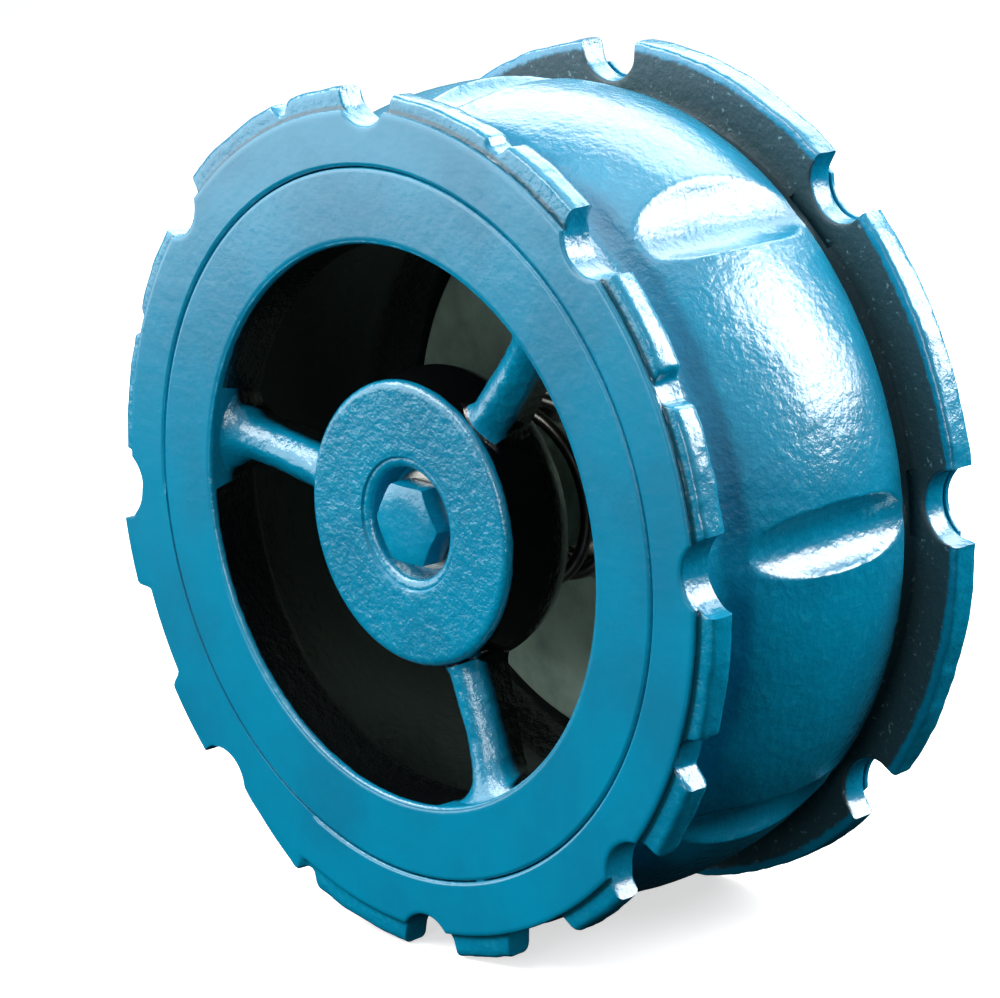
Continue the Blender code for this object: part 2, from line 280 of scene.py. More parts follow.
def bluePaint(name, castLevel, inside=None):
    # castLevel: how rough the casting under the paint is
    # inside: whose waterway side is coloured near black as painted shade, the body's or the cage's
    limits = paintAndShadeEdges
    f = Finish(name)
    x, height, z, radius = f.axes()
    back = height * -1.0
    faced = f.below(height, limits["outletFaced"]) * f.between(radius, limits["facedRadius"])
    faced = faced + f.below(back, limits["inletFaced"])  # machined faces
    cast = 1.0 - faced * 0.86
    broad = f.speckle(28.0, 4.0, 0.55)
    grain = f.speckle(430.0, 3.0, 0.55)
    pits = f.speckle(1300.0, 2.0, 0.5)
    color = f.mix(f.step(broad, 0.35, 0.68), paint["blue"], paint["deep"])
    # painted highlight: the tops of the cast bumps are lightened
    color = f.mix(f.step(grain, 0.52, 0.74) * cast * 0.5, color, paint["bumpHighlight"])
    color = f.mix(f.step(f.speckle(90.0, 5.0, 0.62), 0.66, 0.80) * 0.10 * cast, color, paint["dust"])
    if inside == "body":
        # painted shade: the waterway walls inside the bore are coloured near black
        dark = (1.0 - f.between(radius, limits["boreRadius"])) * (1.0 - f.below(height, limits["outletMouth"]))
        dark = dark * (1.0 - f.below(back, limits["inletMouth"]))
        color = f.mix(dark, color, paint["shadeBlack"])
        # painted shade: the groove between the barrel and the inlet rim is coloured dark teal, with painted
        # glints
        groove = f.between(back, limits["grooveFront"]) * (1.0 - f.between(back, limits["grooveBack"]))
        groove = groove * (1.0 - f.between(radius + (grain - 0.5) * 1.6, limits["grooveOuter"]))
        groove = groove * f.between(radius, limits["grooveInner"])
        # painted glints scattered over the groove's painted shade
        paintedGlint = f.step(f.speckle(620.0, 3.0, 0.6), 0.63, 0.72)
        color = f.mix(groove, color, f.mix(paintedGlint * 0.8, paint["shadeTeal"], paint["paintedGlint"]))
        # painted shade too in the corner where the lobes stand back from the face
        crease = f.between(radius, limits["creaseInner"]) * (1.0 - f.between(radius, limits["creaseOuter"]))
        crease = crease * (1.0 - f.between(height, limits["creaseTop"]))
        crease = crease * f.between(height, limits["creaseBottom"])
        color = f.mix(crease * 0.75, color, paint["shadeTeal"])
    if inside == "cage":
        # painted shade: the ring's bore and the sides of the hub and arms go near black below a wavy line,
        # which drops lower along the arms
        near = None
        for turn in cageArms:
            c, s = math.cos(math.radians(turn)), math.sin(math.radians(turn))
            flare = f.between(radius, limits["armFlare"]) * limits["armFlareWidth"]
            beside = f.between(abs(z * c - x * s) - flare, limits["armSide"])
            beside = beside * f.between(x * c + z * s, limits["armStart"])
            near = beside if near is None else near + beside
        onHub = 1.0 - f.between(radius, limits["hubSide"])
        line = outletFace - limits["ringDepth"]
        mouth = f.between(radius, limits["armMouth"]) * limits["armMouthDepth"]
        edge = line - near * f.between(radius, limits["hubTurn"]) * (limits["armDepth"] - mouth)
        edge = edge - onHub * (line - limits["hubLine"])
        edge = edge + (f.speckle(160.0, 3.0, 0.6) - 0.5) * 1.1
        soft = 0.5 + near * f.between(radius, limits["hubTurn"]) * 2.2
        dark = f.step(height - edge, soft * -1.0, soft * 0.15, 1.0, 0.0) * f.between(radius, limits["hubBore"])
        color = f.mix(dark, color, paint["shadeBlack"])
    rough = paint["roughness"] + (broad - 0.5) * 0.16 + (pits - 0.5) * 0.10
    coat = paint["coat"]
    if inside == "body":
        rough = rough + groove * 0.40
        coat = (1.0 - groove) * coat
    lift = f.bump(grain * cast + pits * 0.22 * cast, 0.00055 * castLevel, 0.85)
    peel = f.bump(f.speckle(210.0, 2.0, 0.4) + pits * 0.05, 0.00010, 0.5, lift)
    f.set(Base_Color=color, Roughness=rough, Normal=peel, Metallic=0.0)
    f.set(IOR=1.5, Specular_IOR_Level=paint["specular"])
    f.set(Coat_Weight=coat, Coat_Roughness=paint["coatRoughness"])
    return f.material


def metal(name, base, dark, roughness, streaks=0.0, grain=0.0, metallic=1.0, scale=900.0):
    # streaks follow the lathe tool round the flow axis, grain is a cast or plated surface
    f = Finish(name)
    x, height, z, radius = f.axes()
    rings = f.node("CombineXYZ", None, {0: radius * 0.9, 1: height * 0.9, 2: 0.0})
    lathe = f.node("TexNoise", None, {"Vector": rings, "Scale": 2.6, "Detail": 4.0, "Roughness": 0.7})
    fine = f.speckle(scale, 3.0, 0.6)
    stain = f.speckle(55.0, 5.0, 0.6)
    color = f.mix(f.step(stain, 0.36, 0.70), base, dark)
    color = f.mix(f.step(fine, 0.55, 0.80) * 0.45, color, dark)
    rough = roughness + (stain - 0.5) * 0.22 + (lathe - 0.5) * 0.18 * streaks
    lift = f.bump(fine, 0.00022 * grain + 0.00001, 0.8)
    lift = f.bump(lathe, 0.00007 * streaks + 0.000002, 0.8, lift)
    f.set(Base_Color=color, Roughness=rough, Normal=lift, Metallic=metallic)
    return f.material


def rubber(name):
    f = Finish(name)
    fine = f.speckle(1500.0, 3.0, 0.6)
    bloom = f.step(f.speckle(120.0, 4.0, 0.6), 0.45, 0.75)
    f.set(Base_Color=f.mix(bloom * 0.6, (0.012, 0.012, 0.013), (0.038, 0.038, 0.040)))
    f.set(Roughness=0.55 + fine * 0.15, Normal=f.bump(fine, 0.00006, 0.7))
    return f.material


finishes = {
    "castPaint": bluePaint("castPaint", 0.6, "body"),
    "smoothPaint": bluePaint("smoothPaint", 0.35),
    "cagePaint": bluePaint("cagePaint", 0.75, "cage"),
    "discSteel": metal("discSteel", (0.36, 0.52, 0.43), (0.20, 0.30, 0.25), 0.46, 1.0, 0.25, 0.45),
    "zincSteel": metal("zincSteel", (0.56, 0.55, 0.50), (0.38, 0.37, 0.33), 0.30, 0.5, 0.12),
    "springSteel": metal("springSteel", (0.22, 0.22, 0.20), (0.12, 0.12, 0.11), 0.34, 0.0, 0.05),
    "bronze": metal("bronze", (0.62, 0.42, 0.20), (0.42, 0.26, 0.12), 0.30, 1.0, 0.10),
    "rubber": rubber("rubber"),
}
print("finishes ready", len(finishes))

# mesh helpers


def turnOutline(bm, points, steps):
    # a closed outline of (radius, height) is spun once round the axis
    corners = [bm.verts.new((radius, 0.0, height)) for radius, height in points]
    edges = [bm.edges.new((corners[i], corners[(i + 1) % len(corners)])) for i in range(len(corners))
             if points[i][0] > 1e-6 or points[(i + 1) % len(points)][0] > 1e-6]
    bmesh.ops.spin(bm, geom=corners + edges, cent=(0, 0, 0), axis=(0, 0, 1), dvec=(0, 0, 0),
                   angle=math.tau, steps=steps, use_merge=True, use_normal_flip=False, use_duplicate=False)
    bmesh.ops.remove_doubles(bm, verts=bm.verts[:], dist=0.0005)
    bmesh.ops.recalc_face_normals(bm, faces=bm.faces[:])


def softenEdges(bm, width, segments=2, sharper=25.0):
    sharp = [e for e in bm.edges if len(e.link_faces) == 2 and e.calc_face_angle(0.0) > math.radians(sharper)]
    bmesh.ops.bevel(bm, geom=sharp, offset=width, offset_type="OFFSET", segments=segments, profile=0.5,
                    affect="EDGES", clamp_overlap=True, material=-1)


def readPlaces(mesh):
    places = np.empty(len(mesh.vertices) * 3)
    mesh.vertices.foreach_get("co", places)
    return places.reshape(-1, 3)


def movePoints(bm, rule):
    for v in bm.verts:
        v.co = rule(v.co)


def finishPiece(name, bm, finish, body, nodes, smooth=32.0):
    mesh = bpy.data.meshes.new(name)
    bm.to_mesh(mesh)
    bm.free()
    mesh.transform(toRow)
    mesh.shade_smooth()
    mesh.set_sharp_from_angle(angle=math.radians(smooth))
    mesh.materials.append(finishes[finish])
    piece = bpy.data.objects.new(name, mesh)
    bpy.context.scene.collection.objects.link(piece)
    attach(piece, body)
    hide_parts(*nodes)
    places = readPlaces(mesh)
    lows = np.min([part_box(node)[0] for node in nodes], axis=0)
    highs = np.max([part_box(node)[1] for node in nodes], axis=0)
    proud = max((lows - places.min(axis=0)).max(), (places.max(axis=0) - highs).max()) / mm
    print(f"{name}: {len(mesh.polygons)} faces, {proud:+.2f} mm against its CAD box")
    return piece


# cast body: one turned shell whose rims and barrel are then shaped round the bolts

bodyShape = {
    "turns": 776,
    "bolts": 8,
    "boltCircle": 105.5,
    "boltNotch": 9.3,
    "faceEdge": 100.0,
    "crown": 101.2,
    "crownHeight": -3.0,
    "crownSweep": 70.0,
    "barrelTop": 23.0,
    "barrelBottom": -28.5,
    "barrelRows": 30,
    "inletRim": 106.4,
    "scoopAt": 45.0,  # this scoop in the barrel is wider on its upper side
    "scoopShare": 0.62,
    "castWobble": 0.42,
    "waveScales": (0.11, 0.34),
    "outletRows": 35.9,  # rows above this height belong to the outlet rim
    "inletRows": -35.5,
    "inletFaceRows": -43.45,
    "inletFaceEdge": 99.9,
    "groovedFrom": 88.0,
    "flushLobes": (178.5, 180.5, 243.0, 244.5),  # here the lobes are cast flush with the face
    "scoopSoft": 0.35,
    # rim outline: from angle, to angle, radius
    "rim": (
        (0, 22, 103.5), (22, 26, 100), (26, 45, 103.5), (45, 63.5, 105.5), (63.5, 66.5, 102), (66.5, 90, 104),
        (90, 106.5, 105.5), (106.5, 109, 102.5), (109, 135, 105.5), (135, 154, 104), (154, 157.5, 101.5),
        (157.5, 180, 104), (180, 195, 106), (195, 209, 100.2), (209, 225, 105.5), (225, 242, 101.0),
        (242, 243.5, 105), (243.5, 246, 102.5), (246, 286, 106.3), (286, 299, 100.4), (299, 315, 105.5),
        (315, 332, 106), (332, 338, 100), (338, 360, 104.5)),
}


def rimOutline(shape):
    angles = np.arange(0.0, 360.0, 0.05)
    outline = np.zeros_like(angles)
    for start, end, radius in shape["rim"]:
        inside = (angles >= start) & (angles < end)
        outline[inside] = radius
        if (start, end) == (225, 242):
            outline[inside] = 97.5 + 7.0 * (angles[inside] - start) / (end - start)
    for width in (17, 17, 9):
        around = np.concatenate([outline[-width:], outline, outline[:width]])
        outline = np.convolve(around, np.ones(width) / width, "same")[width:-width]
    return angles, outline


def boltLimit(shape, degrees):
    # how far out a ray may go before it meets a bolt hole
    pitch = 360.0 / shape["bolts"]
    away = np.radians((degrees + pitch / 2) % pitch - pitch / 2)
    reach = shape["boltNotch"] ** 2 - (shape["boltCircle"] * np.sin(away)) ** 2
    limit = shape["boltCircle"] * np.cos(away) - np.sqrt(np.maximum(reach, 0.0))
    return np.where(reach > 0.0, limit, 200.0)


def spacing(shape):
    # more turns where the bolts and the lobes cut the rims
    angles = np.arange(0.0, 360.0, 0.05)
    pitch = 360.0 / shape["bolts"]
    away = np.abs((angles + pitch / 2) % pitch - pitch / 2)
    density = 1.0 + 1.3 * np.exp(-((away / 6.2) ** 6)) + 2.0 * np.exp(-(((away - 4.9) / 0.5) ** 2))
    for start, _, _ in shape["rim"]:
        off = np.abs((angles - start + 180.0) % 360.0 - 180.0)
        density += 1.6 * np.exp(-((off / 0.9) ** 2))
    total = np.concatenate([[0.0], np.cumsum(density)])
    return total / total[-1], np.concatenate([angles, [360.0]])


def barrelRadius(shape, height):
    return shape["crown"] - (height - shape["crownHeight"]) ** 2 / (2.0 * shape["crownSweep"])


def arcCorner(center, radius, start, end, count):
    turns = [math.radians(start + (end - start) * i / (count - 1)) for i in range(count)]
    return [(center[0] + radius * math.cos(t), center[1] + radius * math.sin(t)) for t in turns]


def bodyOutline(shape):
    # radii past 100 near the outlet are only shares of the lobe height, times ten
    face = outletFace
    points = [(86.65, 31.0), (86.65, 38.0), (86.65, face - 0.75), (86.75, face - 0.5), (87.1, face - 0.12),
              (87.5, face), (87.8, face), (92.0, face), (96.5, face), (98.0, face), (98.6, face)]
    points += [(99.2, face - 0.03), (99.6, face - 0.15), (99.87, face - 0.42), (100.0, face - 0.8),
               (100.0, 43.6)]
    points += [(101.5, 43.42), (104.0, 43.4), (106.5, 43.35), (108.3, 43.2), (109.4, 42.75), (109.9, 42.1)]
    points += [(110.0, 41.2), (110.0, 40.0), (110.0, 38.9), (109.9, 37.9), (109.4, 37.1), (108.3, 36.5),
               (106.5, 36.3), (104.0, 36.25), (101.0, 36.25), (99.0, 36.22), (96.0, 36.2), (94.2, 36.15)]
    points += [(93.2, 35.8), (92.65, 35.2), (92.5, 34.3), (92.5, 32.0), (92.5, 30.2), (92.6, 28.9),
               (93.0, 27.4), (93.7, 26.2), (94.9, 24.7), (95.6, 23.8)]
    rows = shape["barrelRows"]
    for i in range(rows + 1):
        height = shape["barrelTop"] + (shape["barrelBottom"] - shape["barrelTop"]) * i / rows
        points.append((barrelRadius(shape, height), height))
    points += [(94.9, -29.2), (93.6, -29.8), (92.8, -30.6), (92.5, -31.5), (92.5, -33.5), (92.5, -35.0),
               (92.8, -35.8), (93.6, -36.15), (96.0, -36.2), (99.0, -36.2), (102.0, -36.2), (104.4, -36.25)]
    points += arcCorner((105.3, -37.4), 1.1, 80, 0, 5)
    points += [(106.4, -38.6), (106.4, -40.0), (106.4, -41.4)]
    points += arcCorner((105.4, -42.3), 1.0, -10, -85, 4)
    points += [(104.0, -43.4), (102.0, -43.4), (100.3, -43.4), (100.0, -43.7)]
    points += [(99.9, -face + 0.35), (99.4, -face + 0.08), (98.6, -face), (96.0, -face), (90.0, -face),
               (78.0, -face), (66.0, -face), (63.5, -face), (62.75, -face + 0.3), (62.5, -44.0),
               (62.5, -40.9), (70.3, -40.9), (70.3, -37.2), (75.0, -37.2), (75.0, -33.0), (76.0, -33.0),
               (76.0, -30.9), (73.0, -30.9), (74.5, -28.0), (77.0, -23.4), (79.2, -19.4), (80.0, -17.0),
               (80.0, 0.0), (80.0, 16.0), (80.0, 31.0)]
    return points


def waves(shape, x, y, z):
    # the long and the short waves of the sand mould
    long, short = (noise.noise(Vector((x, y, z)) * scale) for scale in shape["waveScales"])
    return long + 0.6 * short


def makeBody(shape):
    # a flat grid is rolled up: columns go round the axis, rows follow the outline
    rows = np.array(bodyOutline(shape))
    turns, count = shape["turns"], len(rows)
    bm = bmesh.new()
    bmesh.ops.create_grid(bm, x_segments=turns, y_segments=count, size=0.5)
    mesh = bpy.data.meshes.new("bodyDraft")
    bm.to_mesh(mesh)
    bm.free()
    places = readPlaces(mesh)
    column = np.rint((places[:, 0] + 0.5) * turns).astype(int) % turns
    row = np.rint((places[:, 1] + 0.5) * count).astype(int) % count
    shares, stops = spacing(shape)
    degrees = np.interp(column / turns, shares, stops)
    radius, height = rows[row, 0], rows[row, 1]
    angles, outline = rimOutline(shape)
    rim = np.interp(degrees, angles, outline, period=360.0)
    limit = boltLimit(shape, degrees)
    edge = shape["faceEdge"]

    # outlet rim: the round face edge first, then the cast lobes outside it
    top = height > shape["outletRows"]
    faceRim = np.minimum(np.minimum(rim, limit), edge)
    pull = np.clip((radius - 90.0) / 7.0, 0.0, 1.0)
    inner = np.minimum(radius, edge) - (edge - faceRim) * pull * pull * (3.0 - 2.0 * pull)
    share = np.clip((radius - edge) / 10.0, 0.0, 1.0)
    outer = faceRim + (np.maximum(np.minimum(rim, limit), faceRim) - faceRim) * share
    radius = np.where(top, np.where(radius > edge, outer, inner), radius)
    flush = np.interp(degrees, shape["flushLobes"], (0.0, 1.0, 1.0, 0.0))
    lift = np.clip((height - 41.0) / 2.0, 0.0, 1.0) * (share > 0.0) * flush * (outletFace - 43.5)
    rounded = top & (share == 0.0) & (height > 43.0)
    height = np.where(rounded, height + (outletFace - 0.05 - height) * flush, height + lift)

    # inlet rim and barrel: only the bolt holes cut them
    rest = ~top & (radius > shape["groovedFrom"])
    soft = shape["scoopSoft"]
    away = degrees - shape["scoopAt"]
    reach = 180.0 / shape["bolts"] - 0.5
    stretched = shape["scoopAt"] + away * np.where((away > 0.0) & (away < reach), shape["scoopShare"], 1.0)
    scoop = np.where(np.abs(away) < reach, boltLimit(shape, stretched), limit)
    near = np.clip(0.5 + 0.5 * (scoop - radius) / soft, 0.0, 1.0)
    blended = scoop * (1 - near) + radius * near - soft * near * (1 - near)
    low = rest & (height < shape["inletRows"])
    lowPull = np.clip((radius - 90.0) / 6.0, 0.0, 1.0)
    lowTop = np.where(height > shape["inletFaceRows"], shape["inletRim"], shape["inletFaceEdge"])
    lowRim = np.minimum(limit, lowTop)
    lowered = radius - np.maximum(lowTop - lowRim, 0.0) * lowPull
    radius = np.where(rest & ~low, blended, np.where(low, lowered, radius))

    # the sand mould leaves the lobes and the barrel a little uneven, never proud of the drawing
    a = np.radians(degrees)
    x, y = radius * np.cos(a), radius * np.sin(a)
    rough = np.clip((radius - 91.0) / 3.0, 0.0, 1.0)
    rough = rough * np.clip((outletFace - 0.9 - np.abs(height)) / 0.6, 0.0, 1.0)
    level = np.array([waves(shape, px, py, pz) if r > 0.0 else 0.0
                      for px, py, pz, r in zip(x, y, height, rough)])
    lobeSide = np.clip((radius - 98.0) / 2.0, 0.0, 1.0) * (np.abs(height) > 35.0)
    radius = radius - rough * shape["castWobble"] * (0.35 + 0.65 * lobeSide) * np.clip(0.6 + level, 0.0, 2.0)
    places = np.stack([radius * np.cos(a), radius * np.sin(a), height], axis=1)
    mesh.vertices.foreach_set("co", places.ravel())
    mesh.update()
    bm = bmesh.new()
    bm.from_mesh(mesh)
    bpy.data.meshes.remove(mesh)
    bmesh.ops.remove_doubles(bm, verts=bm.verts[:], dist=0.0008)
    bmesh.ops.recalc_face_normals(bm, faces=bm.faces[:])
    return finishPiece("castBody", bm, "castPaint", "body_assembly", ["valve_body"], 38.0)


makeBody(bodyShape)
print("body ready")

# guide cage: outlet ring, hub and three arms

cageShape = {
    "outer": 86.35,
    "bore": 68.2,
    "back": 31.3,
    "hub": 34.9,
    "hubFace": 40.6,
    "hubBack": 20.0,
    "pocket": 26.0,
    "pocketFloor": 28.5,
    "boltHole": 6.4,
    "counterbore": 13.7,
    "counterboreFloor": 32.6,
    "raised": 16.6,
    "arms": cageArms,
    "armHalf": 4.9,
    "armTop": 38.8,
    "armRise": 3.5,
    "armRiseFrom": 50.0,
    "armStart": 32.0,
    "armEnd": 73.0,
    "armStations": 60,
    "armShoulder": 34.5,
    # the arm's underside: distances from the axis, and heights there
    "armUnder": ((36.0, 61.8, 69.8), (24.2, 28.2, 31.6)),
    "armDrop": 3.2,
    "armBase": 26.0,
    "ringFillet": 8.0,
    "hubFillet": 4.0,
}


def cageRing(shape):
    face = outletFace
    bm = bmesh.new()
    outer, bore = shape["outer"], shape["bore"]
    points = [(outer, shape["back"]), (outer, 40.0), (outer, face - 0.8), (outer - 0.12, face - 0.45),
              (outer - 0.4, face - 0.12), (outer - 0.8, face), (outer - 1.1, face), (78.0, face)]
    points += [(70.3, face), (69.9, face), (69.2, face - 0.08), (68.7, face - 0.3), (68.35, face - 0.65),
               (68.2, face - 1.2),
               (68.1, 40.0), (67.9, 36.0), (67.6, 32.5), (67.5, 31.2), (67.8, 30.7), (68.6, 30.9),
               (69.8, shape["back"]), (78.0, shape["back"])]
    turnOutline(bm, points, 288)
    return bm


def cageHub(shape):
    bm = bmesh.new()
    r, top = shape["hub"], shape["hubFace"]
    points = [(shape["raised"], top - 0.05), (17.0, top), (19.0, top), (24.0, top), (29.0, top), (32.4, top)]
    points += [(32.9, top), (33.6, top - 0.12), (34.2, top - 0.42), (34.65, top - 0.95), (34.9, top - 1.7),
               (r + 0.05, 37.5), (r + 0.3, 33.0), (r + 0.7, 28.5), (r + 1.2, 24.6), (35.4, 22.2),
               (34.1, shape["hubBack"]),
               (31.0, shape["hubBack"]), (shape["pocket"], shape["hubBack"]), (shape["pocket"], 24.0),
               (shape["pocket"], shape["pocketFloor"]), (shape["boltHole"], shape["pocketFloor"]),
               (shape["boltHole"], shape["counterboreFloor"]),
               (shape["counterbore"], shape["counterboreFloor"])]
    points += [(13.7, 36.0), (13.7, top - 2.0), (13.8, top - 1.5), (14.1, top - 1.1), (14.8, top - 0.75),
               (15.5, top - 0.5), (15.9, top - 0.6), (16.2, top - 0.6), (16.4, top - 0.3)]
    turnOutline(bm, points, 192)
    return bm


def cageArm(shape, turn):
    bm = bmesh.new()
    half, top = shape["armHalf"], shape["armTop"]
    section = []
    for i in range(21):  # rounded ridge
        t = -1.0 + 2.0 * i / 20
        section.append((t, top - shape["armDrop"] * (abs(t) ** 1.7) * (0.75 + 0.25 * abs(t))))
    section += [(1.05, 34.4), (1.07, 33.0), (1.04, 30.5), (1.0, shape["armBase"]),
                (0.8, shape["armBase"] - 0.8), (0.0, shape["armBase"] - 1.0),
                (-0.8, shape["armBase"] - 0.8), (-1.0, shape["armBase"]),
                (-1.04, 30.5), (-1.07, 33.0), (-1.05, 34.4)]
    start, end, stations = shape["armStart"], shape["armEnd"], shape["armStations"]
    ring = [bm.verts.new((start, v * half, h)) for v, h in section]
    edges = [bm.edges.new((ring[i], ring[(i + 1) % len(ring)])) for i in range(len(ring))]
    bmesh.ops.contextual_create(bm, geom=edges)
    for i in range(stations):
        made = bmesh.ops.extrude_edge_only(bm, edges=edges)["geom"]
        verts = [g for g in made if isinstance(g, bmesh.types.BMVert)]
        edges = [g for g in made if isinstance(g, bmesh.types.BMEdge)]
        bmesh.ops.translate(bm, verts=verts, vec=((end - start) / stations, 0.0, 0.0))
    bmesh.ops.contextual_create(bm, geom=edges)

    def flare(co):
        share = co.y / half
        width = half
        for _ in range(3):
            radius = math.hypot(co.x, share * width)
            ringGap = max(0.0, min(shape["ringFillet"], shape["bore"] - radius))
            hubGap = max(0.0, min(shape["hubFillet"], radius - shape["hub"]))
            width = half
            for fillet, gap in ((shape["ringFillet"], ringGap), (shape["hubFillet"], hubGap)):
                width += fillet - math.sqrt(fillet ** 2 - (fillet - gap) ** 2)
        # the underside follows the cone between hub and ring
        height = co.z
        shoulder = shape["armShoulder"]
        base = np.interp(co.x, *shape["armUnder"])
        if height < shoulder:
            depthShare = (height - shape["armBase"] + 1.0) / (shoulder + 1.0 - shape["armBase"])
            height = base + depthShare * (shoulder - base)
        climb = min(max((co.x - shape["armRiseFrom"]) / (shape["bore"] - shape["armRiseFrom"]), 0.0), 1.0)
        height += shape["armRise"] * climb * climb * min(max((co.z - 30.0) / 6.0, 0.0), 1.0)
        spot = Vector((co.x, share * width, height))
        bumps = noise.noise(spot * 0.45) * 0.22 + noise.noise(spot * 0.16) * 0.3
        return spot + Vector((0.0, bumps * abs(share), -abs(bumps) * 0.5))

    movePoints(bm, flare)
    bmesh.ops.recalc_face_normals(bm, faces=bm.faces[:])
    turned = Matrix.Rotation(math.radians(turn), 3, "Z")
    bmesh.ops.rotate(bm, verts=bm.verts[:], cent=(0, 0, 0), matrix=turned)
    return bm


def makeCage(shape):
    whole = bmesh.new()
    parts = [cageRing(shape), cageHub(shape)] + [cageArm(shape, turn) for turn in shape["arms"]]
    for part in parts:
        spare = bpy.data.meshes.new("cageDraft")
        part.to_mesh(spare)
        part.free()
        whole.from_mesh(spare)
        bpy.data.meshes.remove(spare)
    return finishPiece("guideCage", whole, "cagePaint", "body_assembly", ["guide_cage"], 38.0)


makeCage(cageShape)
print("cage ready")

# hex heads: a turned blank whose rim is pressed to a hexagon, with a chamfered top

boltShape = {
    "flats": 19.0, "top": 41.2, "under": 34.6, "face": 9.15, "shank": 5.9, "end": 5.0, "turn": 26.0,
    "round": 0.12}
screwShape = {
    "flats": 8.0, "top": 40.1, "under": 36.8, "face": 3.7, "shank": 2.4, "end": 29.0, "turn": 20.0,
    "round": 0.05, "count": 6, "circle": 42.0, "first": 33.75}


def hexHead(shape):
    top, under, shank = shape["top"], shape["under"], shape["shank"]
    half = shape["flats"] / 2.0
    corner = half / math.cos(math.pi / 6) - 0.02 * half
    slope = math.tan(math.radians(20.0))
    rim = 100.0  # a radius that marks the rows of the hexagon's side
    points = [(0.0, top), (shape["face"] * 0.5, top), (shape["face"] - 0.25, top), (rim, top),
              (rim + 1.0, (top + under) * 0.5 + 0.3), (rim + 1.0, under + 0.3), (rim, under),
              (half * 0.93, under), (shank, under), (shank, shape["end"] + 1.0),
              (shank - 0.8, shape["end"]), (0.0, shape["end"])]
    bm = bmesh.new()
    turnOutline(bm, points, 72)

    def press(co):
        radius = math.hypot(co.x, co.y)
        if radius < rim - 1.0:
            return co
        angle = math.atan2(co.y, co.x)
        away = (angle - math.radians(shape["turn"]) + math.pi / 6) % (math.pi / 3) - math.pi / 6
        reach = min(half / math.cos(away), corner)
        height = co.z
        if height > top - 0.01:
            height = top - max(0.02 * half, (reach - shape["face"]) * slope)
        reach -= shape["round"] * (radius < rim + 0.5)
        return Vector((reach * math.cos(angle), reach * math.sin(angle), height))

    movePoints(bm, press)
    bmesh.ops.recalc_face_normals(bm, faces=bm.faces[:])
    return bm


finishPiece("guideBolt", hexHead(boltShape), "smoothPaint", "body_assembly",
            ["guide_bolt"], 28.0)
for k in range(screwShape["count"]):
    head = hexHead(screwShape)
    turn = math.radians(screwShape["first"] + k * 360.0 / screwShape["count"])
    spot = Vector((math.cos(turn), math.sin(turn), 0.0)) * screwShape["circle"]
    bmesh.ops.rotate(head, verts=head.verts[:], cent=(0, 0, 0), matrix=Matrix.Rotation(math.pi, 3, "X"))
    bmesh.ops.translate(head, verts=head.verts[:], vec=spot)
    finishPiece(f"retainerScrew{k + 1}", head, "zincSteel", "disc_assembly",
                [f"retainer_screw_{k + 1}"], 28.0)
print("bolt and screws ready")

# turned parts: (radius, height) outlines, how much their edges are broken, and what they stand for

